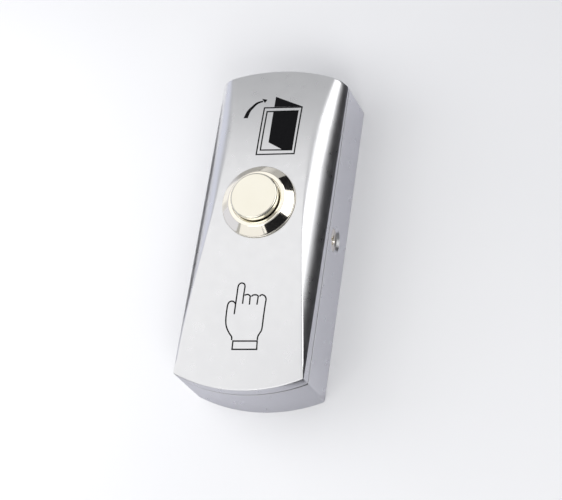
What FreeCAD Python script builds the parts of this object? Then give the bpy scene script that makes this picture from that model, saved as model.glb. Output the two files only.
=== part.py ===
"""Door exit button: a crowned two-part metal housing with a round push button.

X runs across the housing, Y along it (the button is in the +Y half) and Z out of the wall.
The origin is the middle of the back face, so the part rests on z = 0. Units are millimetres.
"""
import FreeCAD, Part
import math
import os
from FreeCAD import Vector

# Housing
overall_depth = 25.0        # wall to the top of the cap
width = 32.0
length = 81.9
end_radius = 40.0           # both short ends are arcs in plan
corner_radius = 0.6         # upright corners between the long walls and the end arcs
crown_radius = 220.0        # arch of the face along the length
crown_rise = 4.85           # top of the long walls to the crown of the face
lip_height = 2.4            # height of the cover's wall above the seam
shoulder_radius = 8.0       # round of the two shoulders, seen along the length
shoulder_inset = 4.5        # side of the housing to the crease, at mid-length
shoulder_tilt = 2.0         # degrees by which both shoulders sink towards the +Y end
cover_wall = 1.8
base_wall = 2.0
floor_thickness = 2.0
seam_chamfer = 0.2
skirt_thickness = 1.2       # rim of the cover that sits inside the base
skirt_depth = 2.2
fit_gap = 0.15              # cover rim and lugs to the inside of the base

# Fixing of the cover
screw_drop = 4.9            # seam to the axis of the side screws
screw_radius = 1.5
screw_length = 6.0
screw_head_radius = 2.8
screw_sink = 0.55           # screw head below the surface of the wall
cross_width = 0.8
cross_length = 3.2
cross_depth = 1.1
thread_gap = 0.02
lug_width = 8.0
lug_thickness = 2.6
lug_floor_gap = 0.5         # end of the lug to the floor of the base
lug_root = 2.2              # height of the lug above the seam, where it joins the cover

# Openings in the back
wall_hole_spacing = 60.0
wall_hole_radius = 2.25
cable_hole_width = 13.0
cable_hole_height = 10.0
cable_hole_corner = 1.5
cable_hole_y = -16.0

# Push button, from its bezel down
button_y = 4.5
barrel_radius = 8.0
barrel_wall = 1.4
flange_overhang = 1.05
flange_rim = 0.92           # upright edge of the flange
bezel_height = 2.57         # seat of the flange to the top ring of the bezel
ring_land = 0.95            # width of the top ring
lip_reach = 0.55            # inward lip that keeps the cap in
lip_thickness = 1.2
cap_rise = 2.0              # cap above the top ring
cap_gap = 0.25
cap_edge = 0.45
cap_top_thickness = 1.4
cap_wall = 0.9
running_gap = 0.06
rest_gap = 0.05
travel = 1.5
stop_gap = 0.2
seat_gap = 0.1              # flange to the edge of its seat in the cover
panel_thickness = 2.0       # cover between flange and lock washer
seal_width = 0.7
seal_thickness = 0.6
washer_width = 1.3
washer_thickness = 0.6
washer_teeth = 12
nut_wall = 1.5
nut_thickness = 2.6

# Switch inside the barrel
wiring_room = 1.3           # floor of the base to the heads of the terminal screws
terminal_head_height = 1.4
terminal_head_radius = 1.9
terminal_screw_radius = 1.05
terminal_screw_depth = 1.4  # screw above the terminal plate
terminal_slot = 0.5
clamp_thickness = 0.5
plate_thickness = 0.8
plate_half_width = 2.3
terminal_offset = 2.6       # button axis to each terminal screw
contact_reach = 4.7         # button axis to the outside of each contact leg
contact_half_width = 1.4
contact_thickness = 0.6
contact_pad_length = 1.8
contact_height = 1.65       # floor of the switch housing to the top of the contact
rivet_radius = 0.65
rivet_height = 0.2
chamber_room = 0.3          # contact legs to the wall of the switch housing
contact_gap = 0.05          # left between bridge and contacts at full travel
housing_floor = 2.0
housing_neck_wall = 0.9
housing_neck_height = 4.35
ring_thickness = 0.8
ring_play = 0.05
ring_opening = 4.0
barrel_end = 0.8            # barrel below its ring
bridge_room = 0.6           # bridge to the guide plate at rest
guide_thickness = 1.6
collar_height = 0.6
collar_wall = 1.0
stem_radius = 1.5
stem_tip_radius = 1.1
stem_tip_length = 1.1
plunger_head_thickness = 1.2
bridge_thickness = 0.5
bridge_half_width = 1.3
bridge_reach = 4.5
clip_thickness = 0.5
clip_radius = 2.2
spring_radius = 3.5
spring_wire = 0.25
spring_coils = 6
spring_steps = 12           # flats along one coil
spring_sides = 6            # flats round the wire

# Heights and radii that follow
half_width = width / 2
half_length = length / 2
flange_radius = barrel_radius + flange_overhang
flange_far_y = abs(button_y) + flange_radius
crown_fall = crown_radius - math.sqrt(crown_radius ** 2 - flange_far_y ** 2)
bezel_top = overall_depth - cap_rise
flange_seat = bezel_top - bezel_height
crown_height = flange_seat + crown_fall
side_height = crown_height - crown_rise
seam_height = side_height - lip_height
screw_height = seam_height - screw_drop
bore_radius = barrel_radius - barrel_wall
lip_radius = bore_radius - lip_reach
cap_radius = lip_radius - cap_gap
cap_guide_radius = bore_radius - running_gap
cap_step = bezel_top - lip_thickness - rest_gap
cap_hollow_radius = cap_radius - cap_wall
cap_ceiling = overall_depth - cap_top_thickness
plunger_head_bottom = cap_ceiling - plunger_head_thickness
nut_seat = flange_seat - panel_thickness
washer_bottom = nut_seat - washer_thickness
clamp_bottom = floor_thickness + wiring_room + terminal_head_height
plate_bottom = clamp_bottom + clamp_thickness
housing_bottom = plate_bottom + plate_thickness
chamber_floor = housing_bottom + housing_floor
housing_shoulder = housing_bottom + housing_neck_height
chamber_radius = contact_reach + chamber_room
neck_radius = chamber_radius + housing_neck_wall
ring_bottom = housing_shoulder - ring_thickness
barrel_bottom = ring_bottom - barrel_end
contact_top = chamber_floor + contact_height
bridge_bottom = contact_top + contact_gap + travel
bridge_top = bridge_bottom + bridge_thickness
guide_bottom = bridge_top + bridge_room
guide_top = guide_bottom + guide_thickness
cap_bottom = guide_top + travel + stop_gap


def plan_face(inset, z):
    """Outline of the housing in plan, moved inwards by inset."""
    x = half_width - inset
    radius = end_radius - inset
    centre_y = half_length - end_radius
    corner_y = centre_y + math.sqrt(radius ** 2 - x ** 2)
    tip_y = half_length - inset
    middle_x = radius * math.sin(math.asin(x / radius) / 2)
    middle_y = centre_y + math.sqrt(radius ** 2 - middle_x ** 2)
    edges = []
    for side in (1, -1):
        right = Vector(side * x, side * corner_y, z)
        tip = Vector(0, side * tip_y, z)
        left = Vector(-side * x, side * corner_y, z)
        edges.append(Part.Arc(right, Vector(side * middle_x, side * middle_y, z), tip).toShape())
        edges.append(Part.Arc(tip, Vector(-side * middle_x, side * middle_y, z), left).toShape())
        edges.append(Part.LineSegment(left, Vector(-side * x, -side * corner_y, z)).toShape())
    return Part.Face(Part.Wire(edges))


def prism(inset, bottom, top):
    """Upright block on the plan outline, with its four upright corners rounded."""
    block = plan_face(inset, bottom).extrude(Vector(0, 0, top - bottom))
    upright = [e for e in block.Edges if e.BoundBox.XLength < 0.01 and e.BoundBox.YLength < 0.01]
    return block.makeFillet(corner_radius, upright)


def shoulder_centre():
    """Centre of the shoulder round, from its two ends: top of the wall and crease at mid-length."""
    chord = math.hypot(shoulder_inset, crown_rise)
    reach = math.sqrt(shoulder_radius ** 2 - chord ** 2 / 4)
    x = half_width - shoulder_inset / 2 - reach * crown_rise / chord
    z = side_height + crown_rise / 2 - reach * shoulder_inset / chord
    return x, z


def crowned_block(inset, bottom):
    """The plan block, cut by the two shoulders and by the arch of the face."""
    top = crown_height + 2 * shoulder_radius
    block = prism(inset, bottom, top)
    centre_x, centre_z = shoulder_centre()
    radius = shoulder_radius - inset
    x = half_width - inset
    wall_top = centre_z + math.sqrt(radius ** 2 - (x - centre_x) ** 2)
    middle = math.radians(60)
    arc_x = centre_x + radius * math.cos(middle)
    arc_z = centre_z + radius * math.sin(middle)
    peak = centre_z + radius
    foot = bottom - length * math.tan(math.radians(shoulder_tilt))
    y0 = -length
    right = Part.Arc(Vector(x, y0, wall_top), Vector(arc_x, y0, arc_z), Vector(centre_x, y0, peak))
    left = Part.Arc(Vector(-centre_x, y0, peak), Vector(-arc_x, y0, arc_z), Vector(-x, y0, wall_top))
    sides = [
        Part.LineSegment(Vector(x, y0, foot), Vector(x, y0, wall_top)).toShape(),
        right.toShape(),
        Part.LineSegment(Vector(centre_x, y0, peak), Vector(-centre_x, y0, peak)).toShape(),
        left.toShape(),
        Part.LineSegment(Vector(-x, y0, wall_top), Vector(-x, y0, foot)).toShape(),
        Part.LineSegment(Vector(-x, y0, foot), Vector(x, y0, foot)).toShape(),
    ]
    shoulders = Part.Face(Part.Wire(sides)).extrude(Vector(0, 2 * length, 0))
    shoulders.rotate(Vector(0, 0, side_height), Vector(1, 0, 0), -shoulder_tilt)
    arch_radius = crown_radius - inset
    arch_centre = crown_height - crown_radius
    end_y = half_length + shoulder_radius
    end_z = arch_centre + math.sqrt(arch_radius ** 2 - end_y ** 2)
    crown = Vector(-width, 0, arch_centre + arch_radius)
    arc = Part.Arc(Vector(-width, -end_y, end_z), crown, Vector(-width, end_y, end_z))
    ends = [
        arc.toShape(),
        Part.LineSegment(Vector(-width, end_y, end_z), Vector(-width, end_y, bottom)).toShape(),
        Part.LineSegment(Vector(-width, end_y, bottom), Vector(-width, -end_y, bottom)).toShape(),
        Part.LineSegment(Vector(-width, -end_y, bottom), Vector(-width, -end_y, end_z)).toShape(),
    ]
    arch = Part.Face(Part.Wire(ends)).extrude(Vector(2 * width, 0, 0))
    return block.common(shoulders).common(arch)


def ring(outer, inner, bottom, top):
    """Round ring on the axis of the button."""
    base = Vector(0, button_y, bottom)
    disc = Part.makeCylinder(outer, top - bottom, base)
    return disc.cut(Part.makeCylinder(inner, top - bottom, base))


def turned(points):
    """Body turned about the axis of the button from a closed half section of (radius, height)."""
    corners = [Vector(r, button_y, z) for r, z in points]
    section = Part.Face(Part.makePolygon(corners + corners[:1]))
    return section.revolve(Vector(0, button_y, 0), Vector(0, 0, 1), 360)


def box(x0, x1, y0, y1, z0, z1):
    return Part.makeBox(x1 - x0, y1 - y0, z1 - z0, Vector(x0, y0, z0))


def seam_edges(shape):
    """Outer edges of a half of the housing that lie in the plane of the seam."""
    edges = []
    for e in shape.Edges:
        b = e.BoundBox
        flat = abs(b.ZMin - seam_height) < 0.01 and abs(b.ZMax - seam_height) < 0.01
        outer = max(abs(b.XMin), abs(b.XMax)) > half_width - seam_chamfer
        outer = outer or max(abs(b.YMin), abs(b.YMax)) > half_length - seam_chamfer
        if flat and outer:
            edges.append(e)
    return edges


def front_cover():
    """Cast cover: crowned shell, rim and lugs that go inside the base, flat seat for the button."""
    shell = crowned_block(0, seam_height)
    shell = shell.makeChamfer(seam_chamfer, seam_edges(shell))
    shell = shell.cut(crowned_block(cover_wall, seam_height - cover_wall))
    rim_outside = base_wall + fit_gap
    rim_inside = rim_outside + skirt_thickness
    rim_top = seam_height + skirt_thickness
    root = prism(cover_wall - fit_gap, seam_height, rim_top).cut(prism(rim_inside, seam_height, rim_top))
    skirt_bottom = seam_height - skirt_depth
    skirt = prism(rim_outside, skirt_bottom, seam_height).cut(prism(rim_inside, skirt_bottom, seam_height))
    pad_radius = barrel_radius + washer_width + base_wall / 2
    pad = Part.makeCylinder(pad_radius, panel_thickness / 2, Vector(0, button_y, nut_seat))
    lug_outside = half_width - base_wall - fit_gap
    lug_inside = lug_outside - lug_thickness
    lug_bottom = floor_thickness + lug_floor_gap
    parts = [root, skirt, pad]
    for side in (1, -1):
        near, far = sorted((side * lug_inside, side * lug_outside))
        parts.append(box(near, far, -lug_width / 2, lug_width / 2, lug_bottom, seam_height + lug_root))
        near, far = sorted((side * lug_inside, side * (half_width - cover_wall + fit_gap)))
        parts.append(box(near, far, -lug_width / 2, lug_width / 2, seam_height, seam_height + lug_root))
    body = shell.multiFuse(parts).removeSplitter()
    hole = Part.makeCylinder(barrel_radius + seat_gap, overall_depth, Vector(0, button_y, 0))
    seat = Part.makeCylinder(flange_radius + seat_gap, overall_depth, Vector(0, button_y, flange_seat))
    step = Part.makeCylinder(
        barrel_radius + seal_width + seat_gap / 2, overall_depth,
        Vector(0, button_y, flange_seat - seal_thickness),
    )
    taps = Part.makeCylinder(
        screw_radius + thread_gap, 2 * lug_outside, Vector(-lug_outside, 0, screw_height), Vector(1, 0, 0)
    )
    return body.cut(hole).cut(seat).cut(step).cut(taps)


def base_box():
    """Cast back box with countersunk side holes, two wall holes and the cable opening."""
    body = prism(0, 0, seam_height)
    body = body.makeChamfer(seam_chamfer, seam_edges(body))
    body = body.cut(prism(base_wall, floor_thickness, 2 * seam_height))
    holes = []
    for side in (1, -1):
        y = side * wall_hole_spacing / 2
        holes.append(Part.makeCylinder(wall_hole_radius, floor_thickness, Vector(0, y, 0)))
        mouth = screw_head_radius + screw_sink + thread_gap
        surface = Vector(side * half_width, 0, screw_height)
        inwards = Vector(-side, 0, 0)
        holes.append(Part.makeCone(mouth, 0, mouth, surface, inwards))
        holes.append(Part.makeCylinder(screw_radius + fit_gap, 2 * base_wall, surface, inwards))
    reach_x = cable_hole_width / 2
    reach_y = cable_hole_height / 2
    cable_hole = box(-reach_x, reach_x, cable_hole_y - reach_y, cable_hole_y + reach_y, 0, floor_thickness)
    upright = [e for e in cable_hole.Edges if e.BoundBox.ZLength > floor_thickness / 2]
    holes.append(cable_hole.makeFillet(cable_hole_corner, upright))
    return body.cut(Part.Compound(holes))


def cover_screw(side):
    """Countersunk screw through the base wall into a lug of the cover."""
    head_top = Vector(side * (half_width - screw_sink), 0, screw_height)
    inwards = Vector(-side, 0, 0)
    cone_height = screw_head_radius - screw_radius
    head = Part.makeCone(screw_head_radius, screw_radius, cone_height, head_top, inwards)
    shank = Part.makeCylinder(screw_radius, screw_length, head_top, inwards)
    screw = head.fuse(shank).removeSplitter()
    outside = side * half_width
    inside = side * (half_width - screw_sink - cross_depth)
    near, far = sorted((outside, inside))
    long_arm = cross_length / 2
    short_arm = cross_width / 2
    across = box(near, far, -long_arm, long_arm, screw_height - short_arm, screw_height + short_arm)
    upright = box(near, far, -short_arm, short_arm, screw_height - long_arm, screw_height + long_arm)
    return screw.cut(across.fuse(upright))


def button_bezel():
    """Bevelled flange in one piece with its barrel and the inward lip that keeps the cap in."""
    return turned([
        (lip_radius, bezel_top),
        (lip_radius + ring_land, bezel_top),
        (flange_radius, flange_seat + flange_rim),
        (flange_radius, flange_seat),
        (barrel_radius, flange_seat),
        (barrel_radius, barrel_bottom),
        (bore_radius, barrel_bottom),
        (bore_radius, bezel_top - lip_thickness),
        (lip_radius, bezel_top - lip_thickness),
    ])


def button_cap():
    """Hollow cap with a wide lower part that runs in the barrel and stops under the lip."""
    cap = turned([
        (0, cap_ceiling),
        (0, overall_depth),
        (cap_radius, overall_depth),
        (cap_radius, cap_step),
        (cap_guide_radius, cap_step),
        (cap_guide_radius, cap_bottom),
        (cap_hollow_radius, cap_bottom),
        (cap_hollow_radius, cap_ceiling),
    ])
    top_edges = [e for e in cap.Edges if e.BoundBox.ZMin > overall_depth - 0.01]
    return cap.makeChamfer(cap_edge, top_edges)


def flange_seal():
    """Flat rubber ring in the step under the flange."""
    return ring(barrel_radius + seal_width, barrel_radius, flange_seat - seal_thickness, flange_seat)


def lock_washer():
    """Washer with inner teeth, clamped between cover and nut."""
    inner = barrel_radius + seat_gap
    washer = ring(barrel_radius + washer_width, inner, washer_bottom, nut_seat)
    notch = math.pi * inner / washer_teeth / 2
    cutters = []
    for i in range(washer_teeth):
        cutter = box(0, inner + washer_width / 2, -notch, notch, washer_bottom, nut_seat)
        cutter.rotate(Vector(0, 0, 0), Vector(0, 0, 1), 360 * i / washer_teeth)
        cutter.translate(Vector(0, button_y, 0))
        cutters.append(cutter)
    return washer.cut(Part.Compound(cutters))


def panel_nut():
    """Thin hexagon nut on the barrel, with its corners taken off on the outer face."""
    flat = barrel_radius + nut_wall
    corner = flat / math.cos(math.radians(30))
    bottom = washer_bottom - nut_thickness
    points = []
    for i in range(6):
        angle = math.radians(60 * i + 30)
        points.append(Vector(corner * math.cos(angle), button_y + corner * math.sin(angle), bottom))
    blank = Part.Face(Part.makePolygon(points + points[:1])).extrude(Vector(0, 0, nut_thickness))
    fall = (corner - flat) / 2
    turned_blank = turned([
        (0, bottom), (flat, bottom), (corner, bottom + fall), (corner, washer_bottom), (0, washer_bottom),
    ])
    hole = Part.makeCylinder(barrel_radius + thread_gap, nut_thickness, Vector(0, button_y, bottom))
    return blank.common(turned_blank).cut(hole)


def plunger():
    """Plastic head pressed into the cap, with the stem that carries the contact bridge."""
    return turned([
        (0, cap_ceiling),
        (cap_hollow_radius - thread_gap, cap_ceiling),
        (cap_hollow_radius - thread_gap, plunger_head_bottom),
        (stem_radius, plunger_head_bottom),
        (stem_radius, bridge_top),
        (stem_tip_radius, bridge_top),
        (stem_tip_radius, bridge_bottom - stem_tip_length),
        (0, bridge_bottom - stem_tip_length),
    ])


def contact_bridge():
    """Brass strip that joins the two contacts when the cap is down."""
    strip = box(
        -bridge_half_width, bridge_half_width,
        button_y - bridge_reach, button_y + bridge_reach, bridge_bottom, bridge_top,
    )
    hole_radius = stem_tip_radius + thread_gap
    return strip.cut(Part.makeCylinder(hole_radius, bridge_thickness, Vector(0, button_y, bridge_bottom)))


def bridge_clip():
    """Push-on clip that holds the bridge on the stem."""
    return ring(clip_radius, stem_tip_radius + thread_gap, bridge_bottom - clip_thickness, bridge_bottom)


def return_spring():
    """Coil spring between the guide plate and the head of the plunger, with a closed coil at each end."""
    bottom = guide_top + spring_wire
    top = plunger_head_bottom - spring_wire
    steps = spring_coils * spring_steps
    rise_of_end = 2 * spring_wire
    middle_coils = spring_coils - 2
    middle_pitch = (top - bottom - 2 * rise_of_end) / middle_coils
    sections = []
    for i in range(steps + 1):
        turn = i / spring_steps
        if turn < 1:
            z = bottom + rise_of_end * turn
        elif turn < spring_coils - 1:
            z = bottom + rise_of_end + middle_pitch * (turn - 1)
        else:
            z = top - rise_of_end * (spring_coils - turn)
        angle = 2 * math.pi * turn
        outwards = Vector(math.cos(angle), math.sin(angle), 0)
        centre = Vector(0, button_y, z) + outwards * spring_radius
        corners = []
        for k in range(spring_sides):
            side_angle = 2 * math.pi * (k + 0.5) / spring_sides
            across = outwards * (spring_wire * math.cos(side_angle))
            upwards = Vector(0, 0, spring_wire * math.sin(side_angle))
            corners.append(centre + across + upwards)
        sections.append(Part.makePolygon(corners + corners[:1]))
    return Part.makeLoft(sections, True, True)


def guide_plate():
    """Plastic disc over the switch housing, with a collar that centres the spring."""
    bore = stem_radius + running_gap
    collar = bore + collar_wall
    return turned([
        (bore, guide_bottom),
        (bore_radius - running_gap, guide_bottom),
        (bore_radius - running_gap, guide_top),
        (collar, guide_top),
        (collar, guide_top + collar_height),
        (bore, guide_top + collar_height),
    ])


def switch_housing():
    """Plastic cup for the contacts, held in the barrel by its shoulder and the retaining ring."""
    cup = turned([
        (0, housing_bottom),
        (neck_radius, housing_bottom),
        (neck_radius, housing_shoulder),
        (bore_radius - running_gap, housing_shoulder),
        (bore_radius - running_gap, guide_bottom),
        (chamber_radius, guide_bottom),
        (chamber_radius, chamber_floor),
        (0, chamber_floor),
    ])
    cutters = []
    for side in (1, -1):
        outside = button_y + side * (contact_reach + thread_gap)
        inside = button_y + side * (contact_reach - contact_thickness - thread_gap)
        near, far = sorted((inside, outside))
        reach = contact_half_width + thread_gap
        cutters.append(box(-reach, reach, near, far, housing_bottom, chamber_floor))
        start = Vector(0, button_y + side * terminal_offset, housing_bottom)
        cutters.append(Part.makeCylinder(terminal_screw_radius + thread_gap, terminal_screw_depth, start))
    return cup.cut(Part.Compound(cutters))


def retaining_ring():
    """Open ring sprung into the barrel, under the shoulder of the switch housing."""
    full = ring(bore_radius - thread_gap, neck_radius + ring_play, ring_bottom, housing_shoulder)
    opening = ring_opening / 2
    gap = box(0, barrel_radius, button_y - opening, button_y + opening, ring_bottom, housing_shoulder)
    return full.cut(gap)


def fixed_contact(side):
    """Brass contact: pad with a rivet, leg through the housing floor, and terminal plate."""
    def strip(half, near, far, z0, z1):
        low, high = sorted((button_y + side * near, button_y + side * far))
        return box(-half, half, low, high, z0, z1)

    pad_top = contact_top - rivet_height
    inner = contact_reach - contact_pad_length
    pad = strip(contact_half_width, inner, contact_reach, pad_top - contact_thickness, pad_top)
    leg_inside = contact_reach - contact_thickness
    leg = strip(contact_half_width, leg_inside, contact_reach, plate_bottom, pad_top)
    plate_inside = terminal_offset - terminal_head_radius
    plate = strip(plate_half_width, plate_inside, contact_reach, plate_bottom, housing_bottom)
    rivet_y = button_y + side * (inner + leg_inside) / 2
    rivet = Part.makeCylinder(rivet_radius, rivet_height, Vector(0, rivet_y, pad_top))
    hole_y = button_y + side * terminal_offset
    hole = Part.makeCylinder(
        terminal_screw_radius + thread_gap, plate_thickness, Vector(0, hole_y, plate_bottom)
    )
    return pad.multiFuse([leg, plate, rivet]).removeSplitter().cut(hole)


def terminal_clamp(side):
    """Square clamp between the terminal plate and the head of its screw."""
    half = terminal_head_radius
    y = button_y + side * terminal_offset
    square = box(-half, half, y - half, y + half, clamp_bottom, plate_bottom)
    hole = Part.makeCylinder(terminal_screw_radius + thread_gap, clamp_thickness, Vector(0, y, clamp_bottom))
    return square.cut(hole)


def terminal_screw(side):
    """Slotted screw that clamps one wire."""
    y = button_y + side * terminal_offset
    head_bottom = clamp_bottom - terminal_head_height
    head = Part.makeCylinder(terminal_head_radius, terminal_head_height, Vector(0, y, head_bottom))
    shank_length = clamp_thickness + plate_thickness + terminal_screw_depth
    shank = Part.makeCylinder(terminal_screw_radius, shank_length, Vector(0, y, clamp_bottom))
    half = terminal_slot / 2
    slot = box(-half, half, y - terminal_head_radius, y + terminal_head_radius,
               head_bottom, head_bottom + terminal_slot)
    return head.fuse(shank).removeSplitter().cut(slot)


nodes = {
    "front_cover": front_cover(),
    "base_box": base_box(),
    "cover_screw_right": cover_screw(1),
    "cover_screw_left": cover_screw(-1),
    "button_bezel": button_bezel(),
    "button_cap": button_cap(),
    "flange_seal": flange_seal(),
    "lock_washer": lock_washer(),
    "panel_nut": panel_nut(),
    "plunger": plunger(),
    "contact_bridge": contact_bridge(),
    "bridge_clip": bridge_clip(),
    "return_spring": return_spring(),
    "guide_plate": guide_plate(),
    "switch_housing": switch_housing(),
    "retaining_ring": retaining_ring(),
    "fixed_contact_upper": fixed_contact(1),
    "fixed_contact_lower": fixed_contact(-1),
    "terminal_clamp_upper": terminal_clamp(1),
    "terminal_clamp_lower": terminal_clamp(-1),
    "terminal_screw_upper": terminal_screw(1),
    "terminal_screw_lower": terminal_screw(-1),
}

os.makedirs("parts", exist_ok=True)
for name, shape in nodes.items():
    shape.exportStep(os.path.join("parts", name + ".step"))
    box_of = shape.BoundBox
    print("%-22s solids %d valid %s volume %9.3f z %.2f to %.2f" % (
        name, len(shape.Solids), shape.isValid(), shape.Volume, box_of.ZMin, box_of.ZMax))
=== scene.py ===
import bmesh
import bpy
import math
from mathutils import Matrix, Vector


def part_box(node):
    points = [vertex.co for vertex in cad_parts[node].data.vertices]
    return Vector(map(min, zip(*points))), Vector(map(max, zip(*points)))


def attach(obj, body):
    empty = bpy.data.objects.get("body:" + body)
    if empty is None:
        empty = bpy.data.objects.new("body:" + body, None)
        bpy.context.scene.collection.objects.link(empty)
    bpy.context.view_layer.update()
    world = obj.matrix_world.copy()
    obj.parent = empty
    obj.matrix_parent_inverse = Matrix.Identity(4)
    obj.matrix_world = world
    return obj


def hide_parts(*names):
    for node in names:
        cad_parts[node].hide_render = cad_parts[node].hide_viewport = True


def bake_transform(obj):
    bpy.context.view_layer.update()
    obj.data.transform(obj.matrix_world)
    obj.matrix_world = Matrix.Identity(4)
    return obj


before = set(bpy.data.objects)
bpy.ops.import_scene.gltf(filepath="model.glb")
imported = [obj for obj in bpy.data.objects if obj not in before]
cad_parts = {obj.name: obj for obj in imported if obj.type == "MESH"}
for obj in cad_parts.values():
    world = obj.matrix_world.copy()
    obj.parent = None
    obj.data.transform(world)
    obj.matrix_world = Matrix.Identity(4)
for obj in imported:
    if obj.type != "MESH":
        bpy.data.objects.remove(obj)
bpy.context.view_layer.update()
mm = 0.001

# The camera looks down at the near right-hand corner of the housing, as in the photograph.
# Its lens, place and turn were solved from the printed length, width and depth of the object.
camera_right = Vector((0.94367, 0.13853, -0.30049))
camera_up = Vector((-0.01830, 0.92861, 0.37060))
camera_back = Vector((0.33038, -0.34423, 0.87884))
view_data = bpy.data.cameras.new("view")
view_data.lens = 123.524
view_data.sensor_width = 36.0
view_data.sensor_fit = "HORIZONTAL"
view_data.clip_start = 0.01
view_data.clip_end = 20.0
view_camera = bpy.data.objects.new("view", view_data)
view_turn = Matrix((camera_right, camera_up, camera_back)).transposed().to_4x4()
view_camera.matrix_world = Matrix.Translation(Vector((155.385, -161.839, 414.803)) * mm) @ view_turn
bpy.context.scene.collection.objects.link(view_camera)
bpy.context.scene.camera = view_camera


# Soft studio light. A wide panel overhead gives the face its even tone, and a brighter one high
# on the right draws the line along the shoulder. The two table lamps show in no reflection, so
# they brighten the table and leave the metal as it is.
def direction(azimuth, elevation):
    """Unit vector from compass angles in degrees: azimuth from +X towards +Y."""
    turn, rise = math.radians(azimuth), math.radians(elevation)
    return Vector((math.cos(turn) * math.cos(rise), math.sin(turn) * math.cos(rise), math.sin(rise)))


def light_panel(name, azimuth, elevation, distance, width, height, radiance, colour):
    """A flat area light that faces the part. Its power follows from its brightness and size."""
    data = bpy.data.lights.new(name, "AREA")
    data.shape = "RECTANGLE"
    data.size = width
    data.size_y = height
    data.energy = math.pi * width * height * radiance
    data.color = colour
    lamp = bpy.data.objects.new(name, data)
    place = direction(azimuth, elevation) * distance
    turned = (-place).to_track_quat("-Z", "Y").to_matrix().to_4x4()
    lamp.matrix_world = Matrix.Translation(place) @ turned
    bpy.context.scene.collection.objects.link(lamp)
    return lamp


light_panel("overhead_panel", 160, 63, 0.9, 0.84, 0.50, 0.66, (1.0, 0.99, 0.98))
light_panel("left_panel", 172, 14, 0.6, 0.90, 0.40, 0.42, (0.72, 0.76, 1.0))
light_panel("near_left_panel", -118, 36, 0.7, 0.60, 0.50, 0.50, (1.0, 0.99, 0.98))
light_panel("edge_panel", -105, 54, 0.7, 0.50, 0.30, 1.30, (1.0, 1.0, 1.0))
shoulder_panel = light_panel("shoulder_panel", 30, 45, 0.8, 1.00, 0.62, 1.35, (1.0, 1.0, 1.0))
shoulder_panel.visible_diffuse = False
table_glow = light_panel("table_glow", 180, 38, 0.17, 0.12, 0.12, 1.9, (1.0, 1.0, 1.0))
table_glow.visible_glossy = False
table_fill = light_panel("table_fill", -58, 42, 0.6, 0.25, 0.25, 4.8, (1.0, 1.0, 1.0))
table_fill.visible_glossy = False
world = bpy.data.worlds.new("studio")
world.use_nodes = True
world.node_tree.nodes["Background"].inputs["Color"].default_value = (0.92, 0.93, 0.95, 1)
world.node_tree.nodes["Background"].inputs["Strength"].default_value = 0.53
bpy.context.scene.world = world
bpy.context.scene.view_settings.view_transform = "Standard"


# Cards round the part, which only its metal reflects. The black ones draw the dark streaks of the
# bevel and the shoulder's edge. The grey and the pale one keep the walls darker than the table.
def card_paint(name, colour):
    """Plain matt paint without a gloss of its own."""
    paint = bpy.data.materials.new(name)
    paint.use_nodes = True
    card_shader = paint.node_tree.nodes["Principled BSDF"]
    card_shader.inputs["Base Color"].default_value = (*colour, 1)
    card_shader.inputs["Roughness"].default_value = 1.0
    card_shader.inputs["Specular IOR Level"].default_value = 0.0
    return paint


card_black = card_paint("card_black", (0.02, 0.02, 0.022))
card_grey = card_paint("card_grey", (0.60, 0.60, 0.65))
card_pale = card_paint("card_pale", (0.75, 0.75, 0.81))


def reflected_card(name, corners, paint=card_black):
    """A flat sheet that shows in reflections alone."""
    sheet = bmesh.new()
    sheet.faces.new([sheet.verts.new(corner) for corner in corners])
    data = bpy.data.meshes.new(name)
    sheet.to_mesh(data)
    sheet.free()
    data.materials.append(paint)
    card = bpy.data.objects.new(name, data)
    bpy.context.scene.collection.objects.link(card)
    card.visible_camera = False
    card.visible_diffuse = False
    card.visible_shadow = False
    card.visible_transmission = False


def standing_card(name, azimuth, half_turn, distance, low, high):
    """A black card on edge, square to its direction, between two elevations in degrees."""
    corners = []
    for turn, rise in ((-half_turn, low), (half_turn, low), (half_turn, high), (-half_turn, high)):
        flat = direction(azimuth + turn, 0) * distance / math.cos(math.radians(turn))
        corners.append((flat.x, flat.y, distance * math.tan(math.radians(rise))))
    reflected_card(name, corners)


def lying_card(name, plan, height, paint=card_black):
    """A card that lies over the table, from its corners in plan."""
    reflected_card(name, [(x, y, height) for x, y in plan], paint)


def rectangle(left, near, right, far):
    return (left, near), (right, near), (right, far), (left, far)


black_card_z, toned_card_z = 0.4 * mm, 0.2 * mm
card_right, card_far, card_near = 0.60, 0.60, -0.25
black_side_x, black_near_x, black_near_y = 0.032, 0.0105, -0.052
toned_seam_y = -0.036
lying_card("table_card", [
    (black_near_x, black_near_y), (black_near_x, card_near), (card_right, card_near),
    (card_right, card_far), (black_side_x, card_far), (black_side_x, toned_seam_y),
], black_card_z)
near_plan = rectangle(-0.05, card_near, card_right, toned_seam_y)
lying_card("near_table_card", near_plan, toned_card_z, card_grey)
side_plan = rectangle(0.0, toned_seam_y, card_right, card_far)
lying_card("side_table_card", side_plan, toned_card_z, card_pale)
lying_card("left_table_card", rectangle(-0.080, -0.10, -0.034, 0.045), black_card_z)
standing_card("right_card", 20, 45, 0.60, 0, 12)
standing_card("far_right_card", 56, 22, 0.58, 0, 24)
standing_card("near_card", -48, 35, 0.50, 18, 47)


# The table under the part: a wide pale sheet, matt, with a faint mottling.
def new_material(name):
    """An empty node material, with its shader and a feed of Object coordinates."""
    material = bpy.data.materials.new(name)
    material.use_nodes = True
    nodes = material.node_tree.nodes
    shader = nodes["Principled BSDF"]
    place = nodes.new("ShaderNodeTexCoord").outputs["Object"]
    return material, shader, place


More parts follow.
